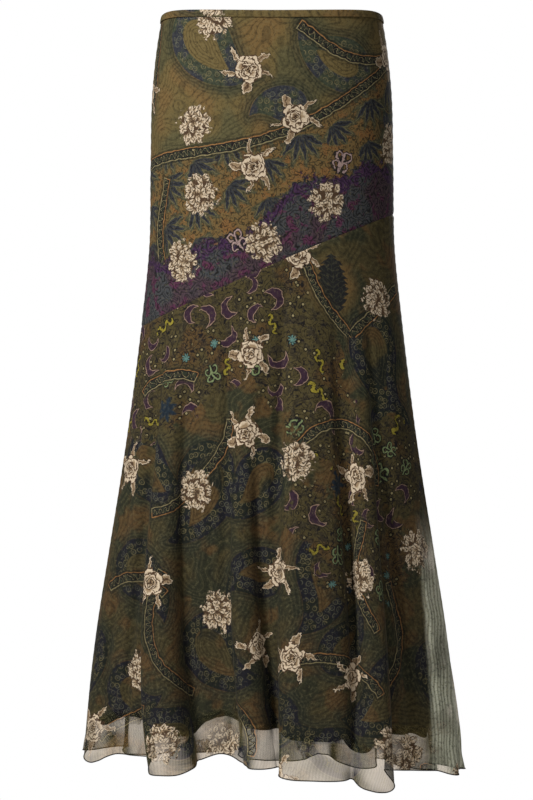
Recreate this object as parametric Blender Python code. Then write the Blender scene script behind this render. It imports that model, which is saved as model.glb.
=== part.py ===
"""A maxi skirt worn low on the waist: a fitted yoke, a flared lower skirt joined to it by a slanting seam, a
narrow waist casing and a shorter lining. It hangs as on a wearer, hollow and open at both ends.

Metres, +Z up. The origin is the centre of the waist edge, the front faces -Y and the wearer's left is at +X.
"""

import bmesh
import bpy
import numpy as np

MM = 0.001

# Driving sizes.
OUTER_WALL = 1.2 * MM
LINING_WALL = 1.0 * MM
SEAM_GAP = 0.3 * MM
CASING_HEIGHT = 9 * MM
CASING_WALL = 3.6 * MM
CASING_PROUD = 0.3 * MM

# The slanting seam: how far down it is at the centre, its rise for each metre towards +X, and how much lower
# it is at a metre from the centre, growing with the square of the distance.
SEAM_DOWN = 327 * MM
SEAM_SLOPE = 0.44
SEAM_SAG = 0.12

# The hem between folds: how far down it is, and how much lower it hangs at +X than at -X.
HEM_DOWN = 959 * MM
HEM_TILT = 26 * MM
LINING_SHORTER = 47 * MM

# One row for each level of the figure and flare, in millimetres below the waist edge. half_width is to each
# side, front and back are the depths from the origin's plane, and round is 2 for an ellipse and more for a
# squarer ring. gap is how far the lining hangs inside the outer wall, and slack what it adds to that at +X.
LEVEL_COLUMNS = ("down", "half_width", "front", "back", "round", "gap", "slack")
LEVELS = (
    (0, 140.0, 92, 96, 2.30, 0.8, 0),
    (45, 147.5, 97, 104, 2.25, 0.9, 0),
    (95, 153.0, 101, 113, 2.20, 1.1, 0),
    (200, 156.0, 104, 123, 2.15, 1.6, 0),
    (300, 157.5, 102, 121, 2.10, 2.0, 0),
    (400, 167.5, 102, 118, 2.05, 3.0, 1),
    (500, 179.5, 104, 119, 2.00, 4.5, 4),
    (600, 193.0, 108, 122, 2.00, 6.0, 9),
    (700, 208.5, 112, 126, 2.00, 7.5, 14),
    (800, 224.5, 116, 130, 2.00, 9.0, 20),
    (900, 236.5, 119, 134, 2.00, 10.0, 25),
    (990, 241.0, 121, 137, 2.00, 11.0, 28),
)

# One row for each fold of the flare. Angles are degrees round the waist from +X by way of the front: where
# the fold starts, half of the way down it and at the hem, and half of its width. depth is how far its crest
# stands out at the hem, lean how far it leans towards greater angles, and bulge how far its flanks swell past
# its root, in millimetres. starts is the level where it begins, drop how much lower the hem hangs at its
# crest, and crown is 2 for a round crest and more for a flat one.
FOLD_COLUMNS = ("top", "mid", "hem", "half", "depth", "lean", "bulge", "starts", "drop", "crown")
FOLDS = (
    (14, 17, 19.0, 11.0, 9, 0, 0, 560, 6, 2),
    (48, 55, 59.8, 6.4, 46, -2, 10, 380, 26, 2.4),
    (70, 74, 75.0, 14.0, 42, 15, 8, 300, 14, 4),
    (97, 100, 92.5, 5.6, 28, 8, 6, 350, 4, 2),
    (116, 114, 105.5, 8.0, -8, 0, 0, 400, -10, 2),
    (136, 132, 119.6, 7.6, 45, 8, 10, 320, 18, 3),
    (166, 164, 160.0, 15.0, 10, 0, 0, 480, 14, 2),
    (203, 204, 205.0, 9.0, 27, -5, 4, 520, 6, 2),
    (226, 228, 229.0, 11.0, 46, 8, 9, 350, 14, 3),
    (251, 250, 250.0, 7.6, 33, -6, 7, 460, 8, 2),
    (274, 273, 272.0, 12.6, 43, -12, 8, 310, 15, 4),
    (299, 298, 296.0, 8.6, 37, 5, 8, 420, 19, 2),
    (322, 320, 318.0, 11.0, 45, -8, 8, 360, 14, 3),
    (344, 342, 341.0, 7.5, 22, 0, 3, 580, 5, 2),
)
GROWTH = 1.35
LINING_FOLLOWS = 0.55

LEVEL = dict(zip(LEVEL_COLUMNS, np.array(LEVELS, float).T, strict=True))
FOLD_ROWS = [dict(zip(FOLD_COLUMNS, row, strict=True)) for row in FOLDS]

# Mesh fineness: columns round half of the skirt and rows down each piece.
CASING_COLUMNS = 72
YOKE_COLUMNS, YOKE_ROWS = 30, 7
PANEL_COLUMNS, PANEL_ROWS = 74, 14
LINING_COLUMNS, LINING_ROWS = 40, 12


def at_level(column, down):
    """A column of LEVELS at a depth, on a smooth curve through the rows (Catmull-Rom in unequal steps)."""
    rows, values = LEVEL["down"], LEVEL[column]
    slopes = np.gradient(values, rows)
    x = np.clip(np.asarray(down) / MM, rows[0], rows[-1])
    i = np.clip(np.searchsorted(rows, x) - 1, 0, len(rows) - 2)
    step = rows[i + 1] - rows[i]
    t = (x - rows[i]) / step
    start = values[i] * (1 + 2 * t) * (1 - t) ** 2 + slopes[i] * step * t * (1 - t) ** 2
    end = values[i + 1] * t**2 * (3 - 2 * t) + slopes[i + 1] * step * t**2 * (t - 1)
    return start + end


def fold_reach(fold, down):
    return np.clip((down / MM - fold["starts"]) / (HEM_DOWN / MM - fold["starts"]), 0, 1.1)


def fold_middle(fold, down):
    """The angle in degrees of a fold's middle at a depth: a smooth path through its three angles."""
    reach = fold_reach(fold, down)
    near_top, near_hem = (1 - reach) * (1 - 2 * reach), reach * (2 * reach - 1)
    return fold["top"] * near_top + fold["mid"] * 4 * reach * (1 - reach) + fold["hem"] * near_hem


def fold_place(fold, angle, down):
    """(place across the fold from -1 to 1 at its edges, its height share there, its growth at that depth)."""
    reach, middle = fold_reach(fold, down), fold_middle(fold, down)
    off = (np.degrees(angle) - middle + 180) % 360 - 180
    across = np.clip(off / fold["half"], -1, 1)
    share = (1 - np.abs(across) ** fold["crown"]) ** 2
    return across, share, reach**GROWTH


def surface(angle, down, follows=1.0, inside=False):
    """Points of the outer cloth's outside, or with inside of the lining's, as an array of (x, y, z)."""
    angle, down = np.broadcast_arrays(np.asarray(angle, float), np.asarray(down, float))
    cos, sin = np.cos(angle), np.sin(angle)
    wide = at_level("half_width", down)
    deep = np.where(sin > 0, at_level("front", down), at_level("back", down))
    if inside:
        ease = OUTER_WALL / MM + at_level("gap", down)
        wide = wide - ease - at_level("slack", down) * (0.5 + 0.5 * cos) ** 2
        deep = deep - ease
    power = at_level("round", down)
    ring = (np.abs(cos) ** power + np.abs(sin) ** power) ** (-1 / power)
    across, depth = wide * cos * ring, deep * sin * ring
    out = np.stack([cos / wide, sin / deep])
    out /= np.linalg.norm(out, axis=0)
    for fold in FOLD_ROWS:
        place, share, grown = fold_place(fold, angle, down)
        grown = grown * follows
        outward = fold["depth"] * share * grown
        along = (fold["lean"] * share + fold["bulge"] * np.sin(np.pi * place)) * grown
        across = across + outward * out[0] - along * out[1]
        depth = depth + outward * out[1] + along * out[0]
    return np.stack([across * MM, -depth * MM, -down], axis=-1)


def lining_surface(angle, down):
    return surface(angle, down, LINING_FOLLOWS, inside=True)


def seam_down(angle):
    """How far down the slanting seam is. Its height and the surface's width are fitted to each other in turn."""
    down = np.full_like(angle, SEAM_DOWN)
    for _ in range(4):
        across = surface(angle, down)[..., 0]
        down = SEAM_DOWN - SEAM_SLOPE * across + SEAM_SAG * across**2
    return down


def hem_down(angle):
    """How far down the outer hem is."""
    down = HEM_DOWN + HEM_TILT / 2 * np.cos(angle)
    for fold in FOLD_ROWS:
        down = down + fold["drop"] * MM * fold_place(fold, angle, HEM_DOWN)[1]
    return down


def lining_hem_down(angle):
    return hem_down(angle) - LINING_SHORTER


def follow_folds(angle, down):
    """Hem angles moved to where the folds carry them at another depth. The side seams stay where they are."""
    seams = [{"top": turn, "mid": turn, "hem": turn, "starts": 0} for turn in (0, 180, 360)]
    paths = sorted([*seams, *FOLD_ROWS], key=lambda path: path["hem"])
    hems = np.radians([path["hem"] for path in paths])
    moved = np.stack([np.radians(fold_middle(path, down) - path["hem"]) for path in paths])
    i = np.clip(np.searchsorted(hems, angle) - 1, 0, len(paths) - 2)
    t = (angle - hems[i]) / (hems[i + 1] - hems[i])
    before = np.take_along_axis(moved, i[None], axis=0)[0]
    after = np.take_along_axis(moved, i[None] + 1, axis=0)[0]
    return angle + before + (after - before) * t


def even_shares(columns, shape, half, bottom):
    """Shares of the way round a half, spaced evenly along the lower edge, so that its folds get more columns."""
    fine = np.linspace(0, 1, 4001)
    angle = (half + fine) * np.pi
    edge = shape(angle, bottom(angle))
    along = np.concatenate([[0], np.cumsum(np.linalg.norm(np.diff(edge, axis=0), axis=1))])
    return np.interp(np.linspace(0, along[-1], columns + 1), along, fine)


def grid(columns, rows, shape, half, top, bottom):
    """(angles, depths) of a piece of half of the skirt, trimmed by half of the gap at each side seam."""
    shares = even_shares(columns, shape, half, bottom)
    steps = np.linspace(0, 1, rows + 1)[:, None]
    hem_angle = np.broadcast_to((half + shares) * np.pi, (rows + 1, columns + 1))
    angle = hem_angle
    for _ in range(3):
        down = top(angle) + (bottom(angle) - top(angle)) * steps
        angle = follow_folds(hem_angle, down)
    depth = at_level("back" if half else "front", down) * MM
    trim = SEAM_GAP / 2 / depth
    middle = (half + 0.5) * np.pi
    return middle + (angle - middle) * (1 - 2 * trim / np.pi), down


def cloth_wall(name, points, thick, material):
    """A wall of cloth: a grid laid over rows of points on its outside, then made thick inwards."""
    rows, columns = points.shape[:2]
    mesh = bpy.data.meshes.new(name)
    sheet = bmesh.new()
    bmesh.ops.create_grid(sheet, x_segments=columns - 1, y_segments=rows - 1, size=1)
    for vert, point in zip(sheet.verts, points.reshape(-1, 3), strict=True):
        vert.co = point
    bmesh.ops.remove_doubles(sheet, verts=sheet.verts, dist=0.001 * MM)
    sheet.to_mesh(mesh)
    sheet.free()
    mesh.materials.append(material)
    mesh.shade_smooth()
    mesh.set_sharp_from_angle(angle=np.radians(50))
    wall = bpy.data.objects.new(name, mesh)
    bpy.context.scene.collection.objects.link(wall)
    solidify = wall.modifiers.new("wall", "SOLIDIFY")
    solidify.thickness = thick
    solidify.offset = -1


def cloth_material(name, colour, roughness):
    material = bpy.data.materials.new(name)
    material.use_nodes = True
    shader = material.node_tree.nodes["Principled BSDF"]
    shader.inputs["Base Color"].default_value = (*colour, 1)
    shader.inputs["Roughness"].default_value = roughness
    shader.inputs["Metallic"].default_value = 0
    return material


def below_casing(angle):
    """Clear of the casing, whose thick wall leans with the hips."""
    return np.full_like(angle, CASING_HEIGHT + 4 * SEAM_GAP)


def above_seam(angle):
    return seam_down(angle) - SEAM_GAP / 2


def below_seam(angle):
    return seam_down(angle) + SEAM_GAP / 2


def casing_points():
    """The narrow turned casing round the waist, which caps the yoke and the lining, stands a little proud."""
    angle = np.linspace(0, 2 * np.pi, CASING_COLUMNS + 1)
    down = np.array([[0], [CASING_HEIGHT]])
    points = surface(angle, down)
    points[..., :2] += CASING_PROUD * np.stack([np.cos(angle), -np.sin(angle)], axis=-1)
    return points


def main():
    for obj in list(bpy.data.objects):
        bpy.data.objects.remove(obj)
    print_cloth = cloth_material("print_cloth", (0.085, 0.066, 0.031), 0.75)
    lining_cloth = cloth_material("lining_cloth", (0.045, 0.036, 0.018), 0.6)
    cloth_wall("waist_casing", casing_points(), CASING_WALL, print_cloth)
    for half, side in enumerate(("front", "back")):
        yoke = grid(YOKE_COLUMNS, YOKE_ROWS, surface, half, below_casing, above_seam)
        cloth_wall(f"yoke_{side}", surface(*yoke), OUTER_WALL, print_cloth)
        panel = grid(PANEL_COLUMNS, PANEL_ROWS, surface, half, below_seam, hem_down)
        cloth_wall(f"panel_{side}", surface(*panel), OUTER_WALL, print_cloth)
        lining = grid(LINING_COLUMNS, LINING_ROWS, lining_surface, half, below_casing, lining_hem_down)
        cloth_wall(f"lining_{side}", lining_surface(*lining), LINING_WALL, lining_cloth)


main()
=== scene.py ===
# The looks of a maxi skirt in sheer printed cloth over an opaque lining. The yoke, the flared panels, the
# lining and the casing are sheets that lie on the outside of their solids, with finer folds, seams, a rolled
# hem and stitches. Their print is drawn in millimetres on the cloth laid flat: a ground of olive, brown and
# purple, ribbons, paisleys, small garden motifs and cream roses.

import bpy
import numpy as np
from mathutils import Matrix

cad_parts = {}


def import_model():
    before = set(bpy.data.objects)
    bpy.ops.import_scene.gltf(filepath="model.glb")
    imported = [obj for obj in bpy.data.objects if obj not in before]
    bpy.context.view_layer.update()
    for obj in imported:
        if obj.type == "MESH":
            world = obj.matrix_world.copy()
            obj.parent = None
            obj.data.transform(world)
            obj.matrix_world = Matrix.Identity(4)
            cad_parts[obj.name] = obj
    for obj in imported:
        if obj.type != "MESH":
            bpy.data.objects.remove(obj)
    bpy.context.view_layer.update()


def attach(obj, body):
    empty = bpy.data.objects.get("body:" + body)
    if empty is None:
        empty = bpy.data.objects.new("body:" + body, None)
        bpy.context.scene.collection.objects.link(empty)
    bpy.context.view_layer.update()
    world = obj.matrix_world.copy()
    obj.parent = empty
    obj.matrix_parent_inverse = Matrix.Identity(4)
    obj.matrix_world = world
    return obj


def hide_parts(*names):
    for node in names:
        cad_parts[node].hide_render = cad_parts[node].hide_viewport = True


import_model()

MM = 0.001

# ---------------- the skirt's form

OUTER_WALL = 1.2 * MM
CASING_HEIGHT = 9 * MM
CASING_PROUD = 0.3 * MM

# The slanting seam: how far down it is at the centre, its rise for each metre towards +X, how much lower it
# is at a metre from the centre, growing with the square of the distance, and the share of a distance straight
# down that is square to it.
SEAM_DOWN = 327 * MM
SEAM_SLOPE = 0.44
SEAM_SAG = 0.12
SQUARE_TO_SEAM = np.cos(np.arctan(SEAM_SLOPE))

HEM_DOWN = 959 * MM
HEM_TILT = 26 * MM
LINING_SHORTER = 47 * MM

# One row for each level of the figure and flare, in millimetres, as in the solids.
LEVEL_COLUMNS = ("down", "half_width", "front", "back", "round", "gap", "slack")
LEVELS = (
    (0, 140.0, 92, 96, 2.30, 0.8, 0),
    (45, 147.5, 97, 104, 2.25, 0.9, 0),
    (95, 153.0, 101, 113, 2.20, 1.1, 0),
    (200, 156.0, 104, 123, 2.15, 1.6, 0),
    (300, 157.5, 102, 121, 2.10, 2.0, 0),
    (400, 167.5, 102, 118, 2.05, 3.0, 1),
    (500, 179.5, 104, 119, 2.00, 4.5, 4),
    (600, 193.0, 108, 122, 2.00, 6.0, 9),
    (700, 208.5, 112, 126, 2.00, 7.5, 14),
    (800, 224.5, 116, 130, 2.00, 9.0, 20),
    (900, 236.5, 119, 134, 2.00, 10.0, 25),
    (990, 241.0, 121, 137, 2.00, 11.0, 28),
)

# One row for each fold of the flare, as in the solids: angles are degrees round the waist from +X by way of
# the front, and the rest is in millimetres.
FOLD_COLUMNS = ("top", "mid", "hem", "half", "depth", "lean", "bulge", "starts", "drop", "crown")
FOLDS = (
    (14, 17, 19.0, 11.0, 9, 0, 0, 560, 6, 2),
    (48, 55, 59.8, 6.4, 46, -2, 10, 380, 26, 2.4),
    (70, 74, 75.0, 14.0, 42, 15, 8, 300, 14, 4),
    (97, 100, 92.5, 5.6, 28, 8, 6, 350, 4, 2),
    (116, 114, 105.5, 8.0, -8, 0, 0, 400, -10, 2),
    (136, 132, 119.6, 7.6, 45, 8, 10, 320, 18, 3),
    (166, 164, 160.0, 15.0, 10, 0, 0, 480, 14, 2),
    (203, 204, 205.0, 9.0, 27, -5, 4, 520, 6, 2),
    (226, 228, 229.0, 11.0, 46, 8, 9, 350, 14, 3),
    (251, 250, 250.0, 7.6, 33, -6, 7, 460, 8, 2),
    (274, 273, 272.0, 12.6, 43, -12, 8, 310, 15, 4),
    (299, 298, 296.0, 8.6, 37, 5, 8, 420, 19, 2),
    (322, 320, 318.0, 11.0, 45, -8, 8, 360, 14, 3),
    (344, 342, 341.0, 7.5, 22, 0, 3, 580, 5, 2),
)
GROWTH = 1.35
LINING_FOLLOWS = 0.55

# Soft creases. Each runs from one angle and depth to another. half is half of its width and
# height how far it stands out, less than 0 for a trough, all in millimetres.
CREASE_COLUMNS = ("top_turn", "foot_turn", "top", "foot", "half", "height")
CREASES = (
    (150, 132, 12, 150, 11, -0.8), (34, 58, 20, 190, 12, -0.9), (104, 98, 40, 250, 18, 0.7),
    (78, 88, 90, 310, 15, -0.7), (168, 144, 110, 290, 13, -1.3), (16, 40, 130, 270, 13, -1.2),
    (160, 152, 200, 420, 10, 1.3), (122, 118, 180, 470, 14, 1.1), (50, 62, 210, 380, 12, 1.0),
    (28, 34, 270, 640, 12, 2.2), (44, 41, 360, 1120, 9, -6.7), (94, 97, 320, 660, 11, 2.6),
    (110, 105, 310, 960, 8, -5.9), (83, 92, 300, 820, 8, -5.0), (98.5, 83.6, 500, 1120, 8, -8.4),
    (118, 113, 380, 900, 8, 2.6), (130, 104, 470, 1150, 9, -6.4), (146, 141, 400, 1120, 10, -7.0),
    (152, 150, 380, 760, 9, 2.8), (158, 152, 560, 1120, 8, -4.2), (129, 127, 300, 560, 8, 1.8),
    (62, 63, 310, 1100, 8, -6.2), (71, 73, 330, 620, 9, 2.4), (24, 28, 560, 1100, 10, 3.2),
    (8, 7, 420, 960, 9, 2.0), (176, 172, 430, 960, 8, 1.8), (212, 236, 15, 170, 12, -0.9),
    (332, 308, 20, 180, 12, -0.8), (262, 268, 60, 260, 17, 0.7), (284, 276, 110, 330, 15, -0.8),
    (200, 222, 130, 290, 13, -1.2), (342, 318, 140, 300, 12, -1.3), (240, 238, 310, 1100, 10, -6.2),
    (262, 261, 360, 1080, 9, -5.9), (251, 250, 320, 620, 10, 2.4), (286, 286, 340, 1100, 9, -6.4),
    (276, 274, 330, 640, 10, 2.6), (308, 307, 360, 1100, 10, -6.4), (297, 296, 340, 700, 9, 2.2),
    (331, 330, 420, 1100, 9, -5.6), (216, 217, 380, 1100, 10, -5.9), (205, 204, 340, 760, 10, 2.2),
    (192, 194, 440, 1080, 9, -4.5),
)

# How the cloth draws in at a seam, puckers beside it and ripples at the hem, the rolled hem's radius, and how
# far stitches are apart and stand out.
SEAM_DIP, SEAM_PINCH = 0.9 * MM, 1.7 * MM
HEM_ROLL, STITCH_GAP, STITCH_PROUD = 0.75 * MM, 0.7 * MM, 0.25 * MM
PUCKER, PUCKER_LENGTH, PUCKER_REACH = 0.35 * MM, 13 * MM, 10 * MM
RIPPLE, RIPPLE_LENGTH, RIPPLE_REACH = 1.7 * MM, 41 * MM, 85 * MM
PUCKER_DRIFT, RIPPLE_DRIFT = 0.047, 0.071


def rows_of(columns, table):
    return [dict(zip(columns, row, strict=True)) for row in table]


LEVEL = dict(zip(LEVEL_COLUMNS, np.array(LEVELS, float).T, strict=True))
FOLD_ROWS = rows_of(FOLD_COLUMNS, FOLDS)
CREASE_ROWS = rows_of(CREASE_COLUMNS, CREASES)


def at_level(column, down):
    """A column of LEVELS at a depth, on a smooth curve through the rows (Catmull-Rom in unequal steps)."""
    rows, values = LEVEL["down"], LEVEL[column]
    slopes = np.gradient(values, rows)
    x = np.clip(np.asarray(down) / MM, rows[0], rows[-1])
    i = np.clip(np.searchsorted(rows, x) - 1, 0, len(rows) - 2)
    step = rows[i + 1] - rows[i]
    t = (x - rows[i]) / step
    start = values[i] * (1 + 2 * t) * (1 - t) ** 2 + slopes[i] * step * t * (1 - t) ** 2
    end = values[i + 1] * t**2 * (3 - 2 * t) + slopes[i + 1] * step * t**2 * (t - 1)
    return start + end


def deep_at(angle, down):
    """How deep the skirt is from its middle to its front or its back, by the side that the angle is on."""
    return np.where(np.sin(angle) > 0, at_level("front", down), at_level("back", down))


def even_turns(count):
    return np.linspace(0, 2 * np.pi, count, endpoint=False)


def together(*parts):
    """The parts of each vector, put together as an array of vectors."""
    return np.stack(parts, axis=-1)


def unit(vectors):
    return vectors / np.linalg.norm(vectors, axis=-1, keepdims=True)


def lengths_along(points):
    """The length up to each point of a line, or of each row of a grid."""
    steps = np.linalg.norm(np.diff(points, axis=-2), axis=-1)
    return np.concatenate([np.zeros_like(steps[..., :1]), np.cumsum(steps, axis=-1)], axis=-1)


def fold_reach(fold, down):
    return np.clip((down / MM - fold["starts"]) / (HEM_DOWN / MM - fold["starts"]), 0, 1.1)


def fold_middle(fold, down):
    """The angle in degrees of a fold's middle at a depth: a smooth path through its three angles."""
    reach = fold_reach(fold, down)
    near_top, near_hem = (1 - reach) * (1 - 2 * reach), reach * (2 * reach - 1)
    return fold["top"] * near_top + fold["mid"] * 4 * reach * (1 - reach) + fold["hem"] * near_hem


def fold_place(fold, angle, down):
    """(place across the fold from -1 to 1 at its edges, its height share there, its growth at that depth)."""
    reach, middle = fold_reach(fold, down), fold_middle(fold, down)
    off = (np.degrees(angle) - middle + 180) % 360 - 180
    across = np.clip(off / fold["half"], -1, 1)
    share = (1 - np.abs(across) ** fold["crown"]) ** 2
    return across, share, reach**GROWTH


def surface(angle, down, follows=1.0, inside=False):
    """Points of the outer cloth's outside, or with inside of the lining's, as an array of (x, y, z)."""
    angle, down = np.broadcast_arrays(np.asarray(angle, float), np.asarray(down, float))
    cos, sin = np.cos(angle), np.sin(angle)
    wide = at_level("half_width", down)
    deep = deep_at(angle, down)
    if inside:
        ease = OUTER_WALL / MM + at_level("gap", down)
        wide = wide - ease - at_level("slack", down) * (0.5 + 0.5 * cos) ** 2
        deep = deep - ease
    power = at_level("round", down)
    ring = (np.abs(cos) ** power + np.abs(sin) ** power) ** (-1 / power)
    across, depth = wide * cos * ring, deep * sin * ring
    out = np.stack([cos / wide, sin / deep])
    out /= np.linalg.norm(out, axis=0)
    for fold in FOLD_ROWS:
        place, share, grown = fold_place(fold, angle, down)
        grown = grown * follows
        outward = fold["depth"] * share * grown
        along = (fold["lean"] * share + fold["bulge"] * np.sin(np.pi * place)) * grown
        across = across + outward * out[0] - along * out[1]
        depth = depth + outward * out[1] + along * out[0]
    return together(across * MM, -depth * MM, -down)


def lining_surface(angle, down):
    return surface(angle, down, LINING_FOLLOWS, inside=True)


def seam_down(angle):
    """How far down the slanting seam is: its depth and the skirt's width are fitted to each other in turn."""
    down = np.full_like(angle, SEAM_DOWN)
    for _ in range(4):
        across = surface(angle, down)[..., 0]
        down = SEAM_DOWN - SEAM_SLOPE * across + SEAM_SAG * across**2
    return down


def hem_down(angle):
    """How far down the outer hem is."""
    down = HEM_DOWN + HEM_TILT / 2 * np.cos(angle)
    for fold in FOLD_ROWS:
        down = down + fold["drop"] * MM * fold_place(fold, angle, HEM_DOWN)[1]
    return down


def lining_hem_down(angle):
    return hem_down(angle) - LINING_SHORTER


def below_casing(angle):
    return np.full_like(angle, CASING_HEIGHT)


def follow_folds(angle, down):
    """Hem angles moved to where the folds carry them at another depth. The side seams stay where they are."""
    seams = [{"top": turn, "mid": turn, "hem": turn, "starts": 0} for turn in (0, 180, 360)]
    paths = sorted([*seams, *FOLD_ROWS], key=lambda path: path["hem"])
    hems = np.radians([path["hem"] for path in paths])
    moved = np.stack([np.radians(fold_middle(path, down) - path["hem"]) for path in paths])
    i = np.clip(np.searchsorted(hems, angle) - 1, 0, len(paths) - 2)
    t = (angle - hems[i]) / (hems[i + 1] - hems[i])
    before = np.take_along_axis(moved, i[None], axis=0)[0]
    after = np.take_along_axis(moved, i[None] + 1, axis=0)[0]
    return angle + before + (after - before) * t


# ---------------- the cloth's grid and its relief

# Distances from a seam of the rows and columns that draw the pinched cloth beside it.
SEAM_STEPS = np.array([0, 0.7, 1.4, 2.2, 3.2, 4.6, 6.4]) * MM


def seam_shares(count, length):
    """Shares from 0 to 1 in even steps, with close ones at both ends, where the seams are."""
    ends = SEAM_STEPS / length
    even = np.linspace(ends[-1], 1 - ends[-1], count + 1)[1:-1]
    return np.concatenate([ends, even, 1 - ends[::-1]])


def cloth_grid(columns, rows, shape, half, top, bottom):
    """(angles, depths) of a piece of half of the skirt: 0 is the front half and 1 the back half."""
    fine = np.linspace(0, 1, 6001)
    angle = (half + fine) * np.pi
    edge = shape(angle, bottom(angle))
    along = lengths_along(edge)
    shares = np.interp(seam_shares(columns, along[-1]) * along[-1], along, fine)
    middle = np.full(1, (half + 0.5) * np.pi)
    steps = seam_shares(rows, float((bottom(middle) - top(middle))[0]))[:, None]
    hem_angle = np.broadcast_to((half + shares) * np.pi, (len(steps), len(shares)))
    angle = hem_angle
    for _ in range(3):
        down = top(angle) + (bottom(angle) - top(angle)) * steps
        angle = follow_folds(hem_angle, down)
    return angle, down


def outward(points):
    """Unit normals of a grid of points, facing out of the skirt."""
    return unit(np.cross(np.gradient(points, axis=1), np.gradient(points, axis=0)))


def turned_away(points, angle, down):
    """How far the folds turn the cloth edge on: 0 where it faces straight out and 1 where it's edge on."""
    wide, deep = at_level("half_width", down), deep_at(angle, down)
    out = unit(together(np.cos(angle) / wide, -np.sin(angle) / deep, 0 * angle))
    turned = 1 - np.abs((outward(points) * out).sum(-1))
    return together(turned, 0 * turned, 0 * turned)


def creases(angle, down):
    """How far the soft creases raise the cloth."""
    raised = np.zeros(np.shape(angle))
    radius = at_level("half_width", down)
    for crease in CREASE_ROWS:
        share = np.clip((down / MM - crease["top"]) / (crease["foot"] - crease["top"]), 0, 1)
        middle = crease["top_turn"] + (crease["foot_turn"] - crease["top_turn"]) * share
        off = np.radians(np.degrees(angle) - middle) * radius / crease["half"]
        raised += crease["height"] * MM * np.exp(-(off**2)) * np.sin(np.pi * share) ** 1.3
    return raised


def seam_relief(distance, along):
    """The cloth's dip at a seam and its puckers beside it."""
    dip = SEAM_DIP * np.exp(-((distance / SEAM_PINCH) ** 2))
    wave = np.sin(2 * np.pi * along / PUCKER_LENGTH + 1.7 * np.sin(along / PUCKER_DRIFT))
    return PUCKER * wave * np.exp(-distance / PUCKER_REACH) * (1 - np.exp(-distance / SEAM_PINCH)) - dip


def side_relief(angle, down):
    """The relief at the nearer side seam."""
    return seam_relief(np.abs(np.sin(angle)) * deep_at(angle, down) * MM, down)


def raise_cloth(points, raised):
    return points + raised[..., None] * outward(points)


def dressed(points, angle, down, across, with_hem):
    """A grid's points with the creases, seams and, on a panel, the ripples of the hem."""
    to_seam = np.abs(down - seam_down(angle)) * SQUARE_TO_SEAM
    raised = creases(angle, down) + seam_relief(to_seam, across) + side_relief(angle, down)
    if with_hem:
        near = np.clip(1 - (hem_down(angle) - down) / RIPPLE_REACH, 0, 1) ** 2
        wave = np.sin(2 * np.pi * across / RIPPLE_LENGTH + 2.1 * np.sin(across / RIPPLE_DRIFT))
        raised = raised + RIPPLE * near * wave
    return raise_cloth(points, raised)


# ---------------- the cloth laid flat

ARC_TURNS, ARC_LEVELS, ARC_FOOT = 2880, 120, 1.02


def arc_table():
    """Lengths round the skirt from +X by way of the front, at even angles and depths."""
    angle = np.linspace(0, 2 * np.pi, ARC_TURNS + 1)
    down = np.linspace(0, ARC_FOOT, ARC_LEVELS + 1)
    return lengths_along(surface(angle[None], down[:, None])[..., :2])


ARCS = arc_table()


def arc(angle, down):
    """The length round the skirt from +X to an angle, at a depth, read between the table's places."""
    turn = np.clip(np.asarray(angle, float) / (2 * np.pi) * ARC_TURNS, 0, ARC_TURNS - 1e-6)
    level = np.clip(np.asarray(down, float) / ARC_FOOT * ARC_LEVELS, 0, ARC_LEVELS - 1e-6)
    i, j = turn.astype(int), level.astype(int)
    s, t = turn - i, level - j
    upper = ARCS[j, i] * (1 - s) + ARCS[j, i + 1] * s
    lower = ARCS[j + 1, i] * (1 - s) + ARCS[j + 1, i + 1] * s
    return upper * (1 - t) + lower * t


def flat_across(angle, down, half):
    """How far to the right of its piece's middle a point of the cloth lies, seen from outside."""
    return arc((half + 0.5) * np.pi, down) - arc(angle, down)


def measured_across(points, angle, down, half):
    """The same along the rows of a finished piece, so that its creases don't stretch its print."""
    along = lengths_along(points)
    middle = np.abs(angle - (half + 0.5) * np.pi).argmin(1)[:, None]
    from_middle = along - np.take_along_axis(along, middle, axis=1)
    return np.take_along_axis(flat_across(angle, down, half), middle, axis=1) - from_middle


def flat_straight(across, down, half):
    """Places on a straight piece laid flat, in millimetres: to the right, and down from the waist edge."""
    return together(across, down) / MM


def flat_panel(across, down, half):
    """The same on a flared panel, which is a piece of a ring when it's laid flat."""
    turns = (half + np.array([0.0, 0.5])) * np.pi
    top, foot = (float(np.diff(arc(turns, np.full(2, down)))[0]) for down in (SEAM_DOWN, HEM_DOWN))
    radius = (HEM_DOWN - SEAM_DOWN) * top / (foot - top)
    out = radius + down - SEAM_DOWN
    turn = across / out
    return together(out * np.sin(turn), out * np.cos(turn) - radius + SEAM_DOWN) / MM


# ---------------- the print's layout, in flat millimetres

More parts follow.
